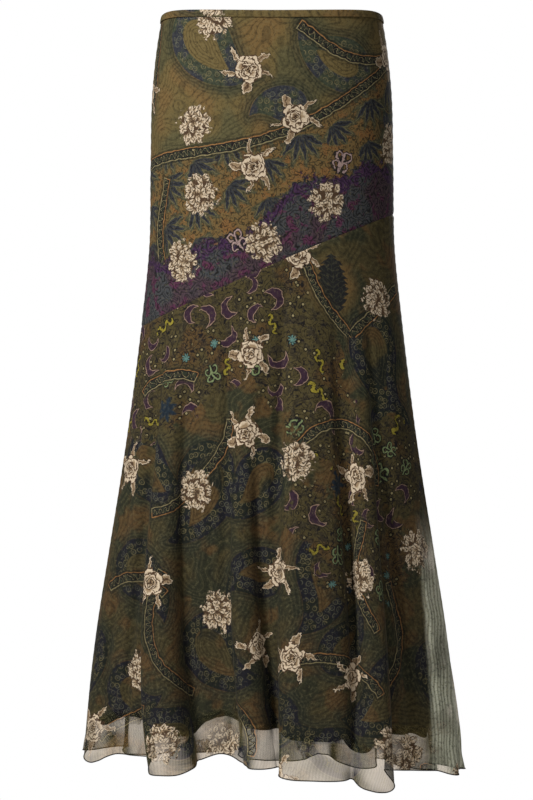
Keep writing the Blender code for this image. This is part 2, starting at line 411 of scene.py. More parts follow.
# Ribbons are lines that turn as they go. heading is where they start out, in degrees from rightwards towards
# down, bend is their whole turn and sway an extra turn to and fro.
RIBBON_COLUMNS = ("across", "down", "heading", "length", "bend", "sway")
RIBBONS = {
    "yoke_front": (
        (-222, 205, -17, 470, -5, 12), (-178, 14, 66, 118, 58, 10), (34, 22, 34, 150, -34, 10),
        (-150, 216, 104, 140, -22, 8),
    ),
    "yoke_back": (
        (-226, 120, 14, 480, 16, -20), (-170, 30, 40, 110, 60, 8), (60, 20, 40, 140, -40, 10),
        (150, 196, 120, 130, 40, 8),
    ),
    "panel_front": (
        (42, 312, 66, 122, -22, 6), (196, 330, 146, 118, -20, -6), (-196, 470, -38, 96, 70, 6),
        (-58, 520, 92, 176, 96, 10), (36, 566, -64, 196, 150, 0), (150, 640, 96, 150, -40, 14),
        (-296, 700, -28, 130, 86, 10), (-176, 700, 128, 200, -104, 8), (20, 846, -46, 190, 100, 8),
        (226, 706, 62, 180, 56, -12), (-74, 880, 20, 84, 80, 0), (-352, 884, -36, 130, 60, 8),
        (196, 930, -40, 130, 96, 6), (318, 930, -20, 100, 70, 6),
    ),
    "panel_back": (
        (-180, 440, 20, 150, 90, 8), (90, 400, 70, 150, -60, 10), (-40, 560, -60, 170, 130, 0),
        (190, 560, 100, 180, 50, 12), (-260, 640, 10, 150, -70, 10), (-120, 740, 120, 160, -90, 0),
        (60, 760, -20, 170, 90, 12), (280, 760, 60, 160, 60, -10), (-360, 840, -10, 150, 60, 0),
        (-40, 900, 20, 150, -60, 12), (160, 930, -40, 150, 110, 0), (380, 900, -30, 120, 60, 0),
    ),
}
RIBBON_HALF, RIBBON_REACH = 6.2, 16.0
LINE_STEP = 1.6

# Paisleys: where the middle of their round end is, the way that they point in degrees from rightwards towards
# down, their length, and how far their tip curls round.
PAISLEY_COLUMNS = ("across", "down", "heading", "length", "curl")
PAISLEYS = {
    "yoke_front": (
        (-96, 40, 64, 150, -70), (96, 74, 190, 128, 66), (20, 124, 200, 84, -80), (200, 150, 170, 76, 90),
    ),
    "yoke_back": (
        (-60, 70, 20, 150, 80), (110, 66, 160, 130, -80), (-170, 220, -60, 96, 80),
    ),
    "panel_front": (
        (150, 418, 84, 150, -80), (-196, 560, 66, 150, -70), (-96, 596, 96, 160, 84),
        (-14, 596, 118, 130, 70), (196, 520, 74, 150, -80), (82, 706, 74, 150, 80),
        (-16, 716, 196, 120, -80), (-236, 690, 16, 150, 84), (-110, 806, 64, 150, -84),
        (214, 846, 112, 160, 84), (36, 900, 200, 130, 76), (116, 806, -24, 120, -80),
        (-286, 838, 50, 150, -84), (-176, 906, 190, 120, 70), (-346, 770, 100, 110, 80),
        (322, 800, 60, 130, -80), (132, 936, 176, 120, 76), (-54, 962, 176, 110, -70),
        (270, 950, -20, 120, 80), (204, 962, 90, 70, 40), (-262, 960, 4, 130, 76), (390, 900, 90, 120, 80),
        (-400, 900, 80, 120, -80),
    ),
    "panel_back": (
        (-160, 520, 60, 150, 80), (10, 480, 100, 130, -80), (160, 490, 40, 140, 80),
        (-250, 740, 30, 150, -80), (-60, 690, 80, 150, 80), (110, 670, 110, 140, -80),
        (260, 660, 60, 130, 80), (-180, 860, 20, 150, 80), (10, 850, 160, 130, -80),
        (150, 830, 60, 140, 80), (330, 840, 110, 140, -80), (-340, 930, 0, 130, 80),
        (-90, 960, -20, 120, 80), (90, 970, 10, 120, -80), (270, 950, -10, 130, 80),
        (430, 920, 60, 110, 80), (-450, 900, 80, 110, 80),
    ),
}
PAISLEY_SLIM, PAISLEY_REACH = 0.27, 24.0
BEAD_STEP = 9.2

# Roses on the front: how far across and down, their turn in degrees, and 1 for an open rose with
# leaves or 2 for a close cluster of blooms.
ROSES = {
    "yoke_front": (
        (-76, 14, 0, 2), (-30, 80, 205, 1), (30, 142, 60, 1), (-104, 150, 0, 2), (-24, 204, 118, 1),
        (-98, 238, 0, 2), (74, 246, 0, 2), (-128, 322, 0, 2), (-12, 298, 0, 2), (176, 60, 140, 1),
        (184, 172, 0, 2), (-200, 104, 20, 1),
    ),
    "panel_front": (
        (36, 314, 200, 1), (152, 356, 0, 2), (-34, 540, 150, 1), (38, 574, 0, 2), (132, 588, 330, 1),
        (-112, 606, 0, 2), (-230, 560, 80, 1), (262, 658, 0, 2), (12, 716, 30, 1), (150, 714, 0, 2),
        (-196, 712, 300, 1), (-96, 762, 0, 2), (-268, 812, 0, 2), (46, 822, 20, 1), (-26, 808, 250, 1),
        (-200, 916, 0, 2), (-94, 930, 0, 2), (216, 918, 0, 2), (40, 972, 75, 1), (140, 840, 230, 1),
        (-360, 868, 60, 1), (292, 916, 0, 2), (-300, 960, 200, 1), (-400, 940, 0, 2), (388, 930, 0, 2),
        (-28, 440, 120, 1),
    ),
}
ROSE_REACH = 46.0

# Small motifs by kind, and how much of each is sown. kind 0 leaves the place bare.
FAN, CRESCENT, DAISY, SCROLL, CURL, BURST, LEAF, SPRIG = range(1, 9)
GARDEN_SHARES = {CRESCENT: 0.4, DAISY: 0.1, SCROLL: 0.13, CURL: 0.1, BURST: 0.09, 0: 0.18}

# A distance beyond all that is drawn.
FAR = 99.0


def walk(across, down, heading, length, bend, sway):
    """Points along a line that turns as it goes."""
    share = np.linspace(0, 1, int(length / LINE_STEP) + 2)
    turn = np.radians(heading + bend * share + sway * np.sin(2 * np.pi * share))
    steps = together(np.cos(turn), np.sin(turn))[:-1] * length / (len(share) - 1)
    return np.array([across, down]) + np.concatenate([np.zeros((1, 2)), np.cumsum(steps, axis=0)])


def paisley_outline(across, down, heading, length, curl):
    """A teardrop's outline: a round end round the given middle, and a tip that curls."""
    share = np.linspace(0, 1, int(length / LINE_STEP))
    turn = np.radians(heading + curl * share**2)
    spine = np.cumsum(together(np.cos(turn), np.sin(turn)), axis=0) * LINE_STEP
    widest = 0.32
    round_end = np.sqrt(np.clip(1 - ((widest - share) / widest) ** 2, 0, 1))
    taper = np.cos(np.clip((share - widest) / (1 - widest), 0, 1) * np.pi / 2) ** 1.15
    width = length * PAISLEY_SLIM * np.where(share < widest, round_end, taper)
    beside = together(-np.sin(turn), np.cos(turn)) * width[:, None]
    outline = np.concatenate([spine + beside, (spine - beside)[-2:0:-1]])
    middle = spine[int(widest * len(spine))]
    return even_line(outline - middle + np.array([across, down]))


def even_line(line):
    """A closed line with its points at even steps."""
    closed = np.concatenate([line, line[:1]])
    along = lengths_along(closed)
    places = np.linspace(0, along[-1], int(along[-1] / LINE_STEP) + 1)[:-1]
    return np.stack([np.interp(places, along, closed[:, axis]) for axis in (0, 1)], axis=-1)


def measure(points, line, closed):
    """(signed distance to a line, length along it, length to its nearer end) for each point."""
    starts = line if closed else line[:-1]
    runs = (np.roll(line, -1, axis=0) if closed else line[1:]) - starts
    lengths = np.linalg.norm(runs, axis=1)
    begins = np.concatenate([[0], np.cumsum(lengths)])
    offset = points[:, None] - starts[None]
    share = (offset * runs).sum(-1) / lengths**2
    low, high = np.zeros(len(runs)), np.ones(len(runs))
    if not closed:
        low[0], high[-1] = -np.inf, np.inf
    held = np.clip(share, low, high)
    gap = np.linalg.norm(offset - held[..., None] * runs, axis=-1)
    nearest = np.where(np.isfinite(gap), gap, FAR).argmin(1)
    row = np.arange(len(points))
    along = begins[nearest] + held[row, nearest] * lengths[nearest]
    side = offset[row, nearest]
    cross = runs[nearest, 0] * side[:, 1] - runs[nearest, 1] * side[:, 0]
    distance = gap[row, nearest]
    if closed:
        return together(np.where(within(points, line), distance, -distance), along, along)
    return together(np.copysign(distance, cross), along, np.minimum(along, begins[-1] - along))


def within(points, line):
    """Which points lie inside a closed line, by the count of its edges that they are to the left of."""
    after = np.roll(line, -1, axis=0)
    low, high = np.minimum(line, after), np.maximum(line, after)
    level = points[:, None, 1]
    spans = (level >= low[:, 1]) & (level < high[:, 1])
    slope = (after - line)[:, 0] / np.where(after[:, 1] == line[:, 1], 1, (after - line)[:, 1])
    crossing = line[:, 0] + (level - line[:, 1]) * slope
    return (spans & (points[:, None, 0] < crossing)).sum(1) % 2 == 1


def figure_places(flat, faces, lines, closed, margin):
    """Each face corner's place by the nearest line: what measure gives, or FAR from every line."""
    blank = np.array([-FAR if closed else FAR, 0.0, 0.0])
    places = np.tile(blank, (len(faces), 4, 1))
    nearest = np.full(len(faces), margin)
    for number, line in enumerate(lines):
        near = np.all((flat > line.min(0) - margin) & (flat < line.max(0) + margin), axis=1)
        found = np.tile(blank, (len(flat), 1))
        found[near] = measure(flat[near], line, closed)
        at_corners = found[faces]
        off = -at_corners[..., 0].mean(1) if closed else np.abs(at_corners[..., 0]).mean(1)
        closer = off < nearest
        chosen = at_corners[closer]
        if closed:
            around = LINE_STEP * len(line)
            first = chosen[:, :1, 1]
            chosen[..., 1] = first + (chosen[..., 1] - first + around / 2) % around - around / 2
            chosen[..., 2] = number
        places[closer] = chosen
        nearest[closer] = off[closer]
    return places


def motif_places(flat, faces, sites, reach):
    """Each face corner's place to the right of and above the nearest motif, and that motif's kind."""
    sites = np.array(sites, float).reshape(-1, 5)
    middles = flat[faces].mean(1)
    gap = np.full(len(faces), np.inf)
    nearest = np.zeros(len(faces), int)
    for number, site in enumerate(sites):
        distance = np.linalg.norm(middles - site[:2], axis=1) / site[4]
        closer = distance < gap
        gap[closer], nearest[closer] = distance[closer], number
    chosen = sites[nearest]
    offset = flat[faces] - chosen[:, None, :2]
    turn = np.radians(chosen[:, None, 2])
    cos, sin = np.cos(turn), np.sin(turn)
    right, up = offset[..., 0], -offset[..., 1]
    places = together(right * cos + up * sin, up * cos - right * sin)
    kind = np.where(gap < reach, chosen[:, 3], 0)
    kinds = np.broadcast_to(kind[:, None], places.shape[:2])
    return np.concatenate([places / chosen[:, None, 4:], kinds[..., None]], axis=-1)


# Left, right, top and foot of a yoke's and a panel's flat cloth.
YOKE_REACH, PANEL_REACH = (-236, 236, -14, 410), (-490, 490, 240, 1010)

# Half-drop repeats: their seed, their steps across and down, and how far a place moves.
ROSE_REPEAT, FAN_REPEAT, GARDEN_REPEAT = (7, 104, 118, 22), (3, 46, 50, 7), (5, 31, 34, 9)
MOTIF_SEED = 11


def half_drop(name, seed, across, down, jitter):
    """Places of a half-drop repeat, each moved a little and turned: (across, down, turn in degrees)."""
    left, right, top, foot = YOKE_REACH if name.startswith("yoke") else PANEL_REACH
    chance = np.random.default_rng(seed)
    places = []
    for column, x in enumerate(np.arange(left, right, across)):
        for y in np.arange(top + down / 2 * (column % 2), foot, down):
            dx, dy = chance.uniform(-jitter, jitter, 2)
            places.append((x + dx, y + dy, chance.uniform(0, 360)))
    return places


def rose_sites(name):
    """The piece's roses: listed on the front, in a half-drop repeat on the back."""
    if name in ROSES:
        return [(*place, kind, 1.0) for *place, kind in ROSES[name]]
    places = enumerate(half_drop(name, *ROSE_REPEAT))
    return [(x, y, turn if number % 2 else 0, 2 - number % 2, 1.0) for number, (x, y, turn) in places]


def motif_sites(name):
    """Fans over a yoke, and garden motifs and toothed leaves over a panel."""
    chance = np.random.default_rng(MOTIF_SEED)
    if name.startswith("yoke"):
        places = half_drop(name, *FAN_REPEAT)
        sites = [(x, y, 190 + turn / 7, FAN, 0.86 + 0.28 * chance.random()) for x, y, turn in places]
    else:
        places = half_drop(name, *GARDEN_REPEAT)
        kinds = chance.choice(list(GARDEN_SHARES), len(places), p=list(GARDEN_SHARES.values()))
        sites = [(*place, kind, 0.85 + 0.35 * chance.random()) for place, kind in zip(places, kinds)]
    for x, y, _, kind, _ in PLACED_MOTIFS[name]:
        clear = LEAF_CLEAR if kind == LEAF else CURLS_CLEAR
        sites = [site for site in sites if np.hypot(site[0] - x, site[1] - y) > clear]
    return sites + [*PLACED_MOTIFS[name]]


# Pale curls on the purple band, and toothed leaves on the brown ground below the seam: across,
# down, turn, kind and size. No sown motif comes closer to them than the clear distances, in millimetres.
LEAF_CLEAR, CURLS_CLEAR = 84, 34
PLACED_MOTIFS = {
    "yoke_front": ((94, 196, -20, SPRIG, 1.3), (-48, 296, 30, SPRIG, 1.2)),
    "yoke_back": ((-60, 230, 20, SPRIG, 1.2), (90, 290, -30, SPRIG, 1.2)),
    "panel_front": ((84, 348, 4, LEAF, 1.0),),
    "panel_back": ((-150, 330, -10, LEAF, 1.0),),
}


def yoke_zones(flat, angle, down, half):
    """(how far inside the purple band, how far below the ribbon that divides the yoke), in millimetres."""
    across = flat[..., 0]
    above_seam = (seam_down(angle) - down) / MM * SQUARE_TO_SEAM
    band = 66 + 13 * np.sin(across / 44 + half) + 8 * np.sin(across / 19)
    divider = walk(**rows_of(RIBBON_COLUMNS, RIBBONS["yoke_back" if half else "yoke_front"])[0])
    below = flat[..., 1] - np.interp(across, divider[:, 0], divider[:, 1])
    return together(band - above_seam, below, np.zeros_like(below))


# The garden ground of a panel: round patches by their middle and radius.
GARDENS = {
    0: (
        (-170, 436, 96), (-84, 396, 92), (-10, 372, 66), (34, 448, 66), (78, 520, 52), (140, 600, 56),
        (206, 560, 60), (120, 690, 58), (190, 680, 62), (60, 640, 36),
    ),
    1: ((-120, 410, 80), (-20, 400, 84), (90, 390, 90), (180, 420, 80), (-190, 520, 60), (180, 700, 90)),
}

# How far beyond the lining's edge the sheer strip at the left side starts.
SHEER_BEYOND = 1.0


def panel_zones(flat, angle, down, half):
    """(how far inside the garden ground, above the hem, beyond the lining at the left), in millimetres."""
    inside = np.full(flat.shape[:-1], -FAR)
    for across, depth, radius in GARDENS[half]:
        gap = radius - np.linalg.norm(flat - np.array([across, depth]), axis=-1)
        inside = np.maximum(inside, gap)
    to_hem = (hem_down(angle) - down) / MM
    lining_edge = at_level("half_width", down) - at_level("gap", down) - at_level("slack", down)
    beyond = surface(angle, down)[..., 0] / MM - lining_edge - SHEER_BEYOND
    return together(inside, to_hem, beyond)


# ---------------- meshes


def put_in_scene(name, data):
    made = bpy.data.objects.new(name, data)
    bpy.context.scene.collection.objects.link(made)
    return made


def new_mesh(name, points, faces, material):
    mesh = bpy.data.meshes.new(name)
    mesh.from_pydata(points.reshape(-1, 3).tolist(), [], faces)
    mesh.materials.append(material)
    return put_in_scene(name, mesh)


def new_piece(name, points, faces, material):
    piece = new_mesh(name, points, faces, material)
    piece.data.shade_smooth()
    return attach(piece, "root")


def grid_faces(rows, columns, joined=False):
    """Faces of a grid of points, facing out of the skirt. A joined grid closes on itself sideways."""
    index = np.arange(rows * columns).reshape(rows, columns)
    if joined:
        index = np.concatenate([index, index[:, :1]], axis=1)
    return together(index[:-1, :-1], index[:-1, 1:], index[1:, 1:], index[1:, :-1]).reshape(-1, 4)


def set_map(mesh, flat, faces):
    """The cloth laid flat as the piece's UV map, in metres."""
    places = flat.reshape(-1, 2)[faces.ravel()] * MM
    mesh.uv_layers.new(name="cloth").uv.foreach_set("vector", places.astype(np.float32).ravel())


def set_places(mesh, name, places):
    attribute = mesh.attributes.new(name, "FLOAT_VECTOR", "CORNER")
    attribute.data.foreach_set("vector", places.astype(np.float32).ravel())


def flat_size(flat, points):
    """The box round the cut piece laid flat, and the area of its cloth, which is within that box."""
    width, length = np.ptp(flat.reshape(-1, 2), axis=0) * MM
    sides = np.cross(points[1:, 1:] - points[:-1, :-1], points[1:, :-1] - points[:-1, 1:])
    area = np.linalg.norm(sides, axis=-1).sum() / 2
    return (round(float(width), 3), round(float(length), 3)), round(float(min(area, width * length)), 4)


def print_places(name, flat, faces):
    """The places that a piece's print is drawn by, by the name of each and for each corner of each face."""
    ribbons = [walk(**row) for row in rows_of(RIBBON_COLUMNS, RIBBONS[name])]
    paisleys = [paisley_outline(**row) for row in rows_of(PAISLEY_COLUMNS, PAISLEYS[name])]
    return {
        "ribbon": figure_places(flat, faces, ribbons, False, RIBBON_REACH),
        "paisley": figure_places(flat, faces, paisleys, True, PAISLEY_REACH),
        "rose": motif_places(flat, faces, rose_sites(name), ROSE_REACH),
        "motif": motif_places(flat, faces, motif_sites(name), FAR),
    }


def cloth_piece(name, points, flat, faces, material):
    """A sheet of cloth in place of the node of that name."""
    piece = new_piece(f"{name}_cloth", points, faces.tolist(), material)
    set_map(piece.data, flat, faces)
    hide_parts(name)
    return piece


def printed_piece(name, half, columns, rows, top, bottom, lay_flat, zones, material):
    """A sheet of the printed cloth in place of its solid: (piece, points, flat size, area)."""
    angle, down = cloth_grid(columns, rows, surface, half, top, bottom)
    across = flat_across(angle, down, half)
    points = dressed(surface(angle, down), angle, down, across, name.startswith("panel"))
    flat = lay_flat(measured_across(points, angle, down, half), down, half)
    faces = grid_faces(*angle.shape)
    piece = cloth_piece(name, points, flat, faces, material)
    set_places(piece.data, "zone", zones(flat, angle, down, half).reshape(-1, 3)[faces])
    for kind, places in print_places(name, flat.reshape(-1, 2), faces).items():
        set_places(piece.data, kind, places)
    set_places(piece.data, "turned", turned_away(points, angle, down).reshape(-1, 3)[faces])
    return piece, points, *flat_size(flat, points)


def around(ahead):
    """Unit vectors beside and above a line that runs ahead."""
    beside = unit(np.cross(ahead, [0, 0, 1.0]))
    return beside, np.cross(beside, ahead)


def roll_of_cloth(name, path, radius, material):
    """A thin round roll of cloth along a path."""
    sides, count = 8, len(path)
    beside, above = around(unit(np.gradient(path, axis=0)))
    turn = even_turns(sides)[:, None, None]
    points = path + radius * (np.cos(turn) * beside + np.sin(turn) * above)
    first = np.arange(count - 1)
    last = first + (sides - 1) * count
    wrap = together(last, last + 1, first + 1, first)
    return new_piece(name, points, [*grid_faces(sides, count).tolist(), *wrap.tolist()], material)


def stitches(name, path, length, radius, material):
    """A row of short stitches, each a slim closed spindle, along a path."""
    along = lengths_along(path)
    starts = np.arange(STITCH_GAP, along[-1] - length, length + STITCH_GAP)
    share, sides = np.array([0, 0.12, 0.5, 0.88, 1.0]), 6
    thick = np.array([0.15, 0.85, 1.0, 0.85, 0.15]) * radius
    places = starts[:, None] + share * length
    centre = np.stack([np.interp(places, along, path[:, axis]) for axis in range(3)], axis=-1)
    beside, above = around(unit(centre[:, -1:] - centre[:, :1]))
    turn = even_turns(sides)[:, None]
    ring = np.cos(turn) * beside[:, :, None] + np.sin(turn) * above[:, :, None]
    points = centre[:, :, None] + thick[:, None, None] * ring
    one = grid_faces(len(share), sides, joined=True)[:, ::-1]
    first = np.arange(len(starts))[:, None, None] * len(share) * sides
    walls = (one[None] + first).reshape(-1, 4)
    caps = [list(range(sides))[::-1], [(len(share) - 1) * sides + side for side in range(sides)]]
    ends = [[corner + start for corner in cap] for start in first.ravel() for cap in caps]
    return new_piece(name, points, walls.tolist() + ends, material)


# ---------------- shader maths


class Value:
    """A socket in a material. Maths on it adds Math nodes, so a recipe reads as plain expressions."""

    def __init__(self, finish, socket):
        self.finish, self.socket = finish, socket

    def maths(self, operation, *others):
        return self.finish.node("Math", {"operation": operation}, [self, *others])

    def vector(self, operation, other):
        return self.finish.node("VectorMath", {"operation": operation}, [self, other])

    def noise(self, size, detail=2.0, roughness=0.5, out="Fac"):
        """Soft noise at these places, whose lumps are about size across."""
        sockets = {"Vector": self, "Scale": 1 / size, "Detail": detail, "Roughness": roughness}
        return self.finish.node("TexNoise", {"noise_dimensions": "2D"}, sockets, out=out)

    def __add__(self, other):
        return self.maths("ADD", other)

    def __sub__(self, other):
        return self.maths("SUBTRACT", other)

    def __rsub__(self, other):
        return self.finish.node("Math", {"operation": "SUBTRACT"}, [other, self])

    def __mul__(self, other):
        return self.maths("MULTIPLY", other)

    def __truediv__(self, number):
        return self.maths("MULTIPLY", 1 / number)

    def __mod__(self, other):
        return self.maths("FLOORED_MODULO", other)

    def __pow__(self, other):
        return self.maths("POWER", other)

    def __abs__(self):
        return self.maths("ABSOLUTE")

    __radd__ = __add__
    __rmul__ = __mul__


class Finish:
    """The nodes of a material, or of the world."""

    def __init__(self, made):
        self.made = made
        made.use_nodes = True
        self.tree = made.node_tree
        self.tree.nodes.clear()

    def node(self, kind, settings=None, sockets=(), out=0):
        """Any node: its settings are set first, then the values or links of its sockets, by name or place."""
        made = self.tree.nodes.new("ShaderNode" + kind)
        for setting, value in (settings or {}).items():
            setattr(made, setting, value)
        for place, value in sockets.items() if isinstance(sockets, dict) else enumerate(sockets):
            if isinstance(value, Value):
                self.tree.links.new(value.socket, made.inputs[place])
            else:
                made.inputs[place].default_value = value
        return Value(self, made.outputs[out])

    def places(self, name):
        """A mesh attribute's vector."""
        return self.node("Attribute", {"attribute_name": name}, out="Vector")

    def object_places(self):
        return self.node("TexCoord", out="Object")

    def finished_with(self, shader, output="OutputMaterial"):
        """Puts the shader on the output, and gives the material or world."""
        end = self.tree.nodes.new("ShaderNode" + output)
        self.tree.links.new(shader.socket, end.inputs["Surface"])
        return self.made


def new_finish(name):
    return Finish(bpy.data.materials.new(name))


def apart(places):
    """The first, second and third parts of a vector."""
    split = places.finish.node("SeparateXYZ", {}, [places])
    return [Value(places.finish, socket) for socket in split.socket.node.outputs]


def smooth(value, low, high):
    """0 at low and 1 at high, which may be the lesser, with soft ends."""
    sockets = {"Value": value, "From Min": low, "From Max": high}
    return value.finish.node("MapRange", {"interpolation_type": "SMOOTHSTEP"}, sockets)


# Half the width over which a drawn edge softens.
SOFT = 0.28


def filled(edge):
    """1 where a distance is less than 0."""
    return smooth(edge, SOFT, -SOFT)


def stroke(edge, half):
    """A drawn line of half that width on each side of where a distance is 0."""
    return smooth(abs(edge), half + SOFT, half - SOFT)


def mixed(share, first, second):
    """A colour part of the way from the first to the second."""
    return share.finish.node("Mix", {"data_type": "RGBA"}, {0: share, 6: first, 7: second}, out=2)


def multiplied(first, second):
    settings = {"data_type": "RGBA", "blend_type": "MULTIPLY"}
    return first.finish.node("Mix", settings, {0: 1.0, 6: first, 7: second}, out=2)


def blended(share, first, second):
    return share.finish.node("Mix", {"data_type": "FLOAT"}, {0: share, 2: first, 3: second})


def is_kind(kind, number):
    return kind.maths("COMPARE", number, 0.5)


def polar(x, y):
    """(distance, angle in radians) of a place."""
    return (x * x + y * y) ** 0.5, y.maths("ARCTAN2", x)


def sine(angle):
    return angle.maths("SINE")


def cosine(angle):
    return angle.maths("COSINE")


def larger(first, second):
    return first.maths("MAXIMUM", second)


class Print:
    """Inks laid one over another on sheer cloth."""

    def __init__(self, ink, cover):
        self.ink, self.cover = ink, cover

    def lay(self, mask, ink, cover):
        self.ink = mixed(mask, self.ink, ink)
        self.cover = blended(mask, self.cover, cover)


# ---------------- inks and drawn motifs, in millimetres

# How opaque an ink dries on the sheer cloth, and how light the lining is behind it.
THIN, MEDIUM, DENSE, HEAVY, SOLID = 0.5, 0.64, 0.74, 0.9, 0.93
# Painted shade: the lining shows darker than its own colour, as if shaded by the cloth over it.
LINING_SHOWS = 0.009


def ink(red, green, blue, cover):
    """A dye's own colour, from the one that it shows over the dark lining on a screen, in 0 to 255."""
    shown = np.array([red, green, blue]) / 255
    linear = np.where(shown > 0.04045, ((shown + 0.055) / 1.055) ** 2.4, shown / 12.92)
    return (*np.clip((linear - (1 - cover) * LINING_SHOWS) / cover, 0.002, 1), 1)


def inks(cover, *shades):
    return [ink(*shade, cover) for shade in shades]


# The yoke's grounds, then the panels' darker ones, darker partly in their print and partly as painted shade.
OLIVE, MOSS, BROWN, RUST = inks(THIN, (109, 93, 56), (90, 84, 55), (118, 94, 56), (131, 94, 54))
DEEP_OLIVE, DEEP_MOSS, DEEP_BROWN, DEEP_RUST = inks(
    THIN, (78, 69, 42), (54, 55, 38), (92, 71, 42), (99, 74, 44)
)
CONTOUR, GLINT, SHELL, NAVY, FOREST, CHARCOAL = inks(
    MEDIUM, (38, 37, 28), (112, 103, 72), (78, 80, 60), (32, 33, 42), (34, 39, 33), (38, 38, 38)
)
SLATE, PLUM, VIOLET, AUBERGINE, FOLIAGE, HALO = inks(
    MEDIUM, (66, 69, 71), (72, 56, 64), (66, 40, 74), (60, 40, 54), (42, 38, 36), (50, 55, 43)
)
DUSK, SPRUCE, PEWTER = inks(MEDIUM, (52, 54, 60), (62, 68, 53), (164, 164, 146))
NIGHT, DARK, SEDGE, TAN, STRAW = inks(
    DENSE, (30, 27, 28), (26, 23, 18), (98, 98, 82), (160, 114, 68), (150, 137, 98)
)
YELLOW, MINT, SKY, COBALT = inks(DENSE, (150, 136, 50), (128, 142, 98), (94, 130, 122), (34, 48, 60))
ROSEWOOD, MAUVE, MAGENTA, BLUSH = inks(DENSE, (160, 132, 112), (84, 69, 71), (94, 48, 76), (170, 144, 138))
CREAM, SAND, BARK, SEPIA = inks(SOLID, (214, 194, 166), (156, 132, 102), (80, 60, 43), (40, 31, 23))


def wobble(places, lookup, size, amount):
    """Places moved to and fro, unlike from one part of the cloth to another, so they look drawn by hand."""
    shaken = lookup.noise(size, roughness=0.6, out="Color")
    moved = shaken.vector("SUBTRACT", (0.5, 0.5, 0.5)).vector("MULTIPLY", (amount, amount, 0))
    return places.vector("ADD", moved)


def bands(height):
    """0 to 1 and back for each whole step of a height."""
    return abs(height % 1 - 0.5) * 2


def lay_lines(art, wave, strength, dark=None, pale=None):
    """Fine dark lines where a wave is low, with paler ones between them."""
    art.lay(smooth(wave, 0.42, 0.12) * strength, dark or CONTOUR, MEDIUM)
    art.lay(smooth(wave, 0.74, 0.98) * strength * 0.6, pale or GLINT, MEDIUM)


def cells(flat, size, scatter, out="Distance"):
    """Scattered middles about size apart: how far the nearest is, or with out where it is."""
    sockets = {"Vector": flat, "Scale": 1 / size, "Randomness": scatter}
    found = flat.finish.node("TexVoronoi", {"voronoi_dimensions": "2D"}, sockets, out=out)
    return found * size if out == "Distance" else found


def draw_ribbon(art, places, flat):
    """A narrow band between a tan line and pale ones, with loose dark loops along its middle."""
    across, along, to_end = apart(places)
    shake = flat.noise(11, detail=1) - 0.5
    across = across + shake * 3.6
    edge = larger(abs(across) - RIBBON_HALF, to_end * -1 + 0.5)
    lay_lines(art, bands(edge / 3.7), smooth(edge, 14, 3) * 0.5)
    art.lay(smooth(edge, 5, 0.6) * 0.7, CONTOUR, MEDIUM)
    art.lay(filled(edge), HALO, MEDIUM)
    turn = along * (2 * np.pi / 7.6) + shake * 9
    inner = filled(edge + 1.8)
    art.lay(stroke(across - sine(turn) * 3.4, 1.5) * inner, NIGHT, HEAVY)
    art.lay(stroke(across - sine(turn * 0.5 + 1.1) * 3.2, 0.9) * inner, NIGHT, HEAVY)
    art.lay(stroke(across - sine(turn - 0.9) * 3, 0.4) * inner, STRAW, DENSE)
    art.lay(stroke(edge + 1.9, 0.6), NIGHT, HEAVY)
    art.lay(stroke(edge + 0.5, 0.55), mixed(filled(across), STRAW, TAN), DENSE)


def draw_paisley(art, places, flat, ground, borders):
    """A dark teardrop border full of uneven beads, in a halo, with echoes of its outline inside and out."""
    depth = apart(places)[0]
    echo = bands(depth / 4.3 + flat.noise(26) * 2)
    outer = filled(depth + 1)
    art.lay(smooth(depth, -20, -2) * outer * 0.7, HALO, MEDIUM)
    lay_lines(art, echo, smooth(depth, -24, -4) * outer * 0.5)
    hue = smooth(flat.noise(30), 0.44, 0.56)
    art.lay(smooth(depth, -1.6, 0.8), mixed(hue, *borders), MEDIUM)
    uneven = flat.noise(12, detail=1)
    bead = cells(flat, BEAD_STEP, 0.55) - uneven * 3
    beads = larger(stroke(bead - 1.5, 0.5), filled(bead + 0.4) * 0.5) * smooth(depth, 3, 5)
    art.lay(beads * (uneven * 1.1 + 0.25), mixed(hue, SEDGE, GLINT), DENSE)
    core = smooth(depth, 19, 20.6)
    art.lay(core, ground, THIN)
    lay_lines(art, echo, core * 0.5)


ROSE_RINGS = (  # radius, lobes, turned, how deep they are cut, how far its middle is moved across and up
    (18.6, 5, 0, 0.26, 0, 0),
    (14.4, 4, 0.7, 0.22, 1.6, -1.1),
    (10.4, 4, 0.1, 0.24, -0.9, 1.3),
    (6.8, 3, 1, 0.28, 1.1, 0.9),
)


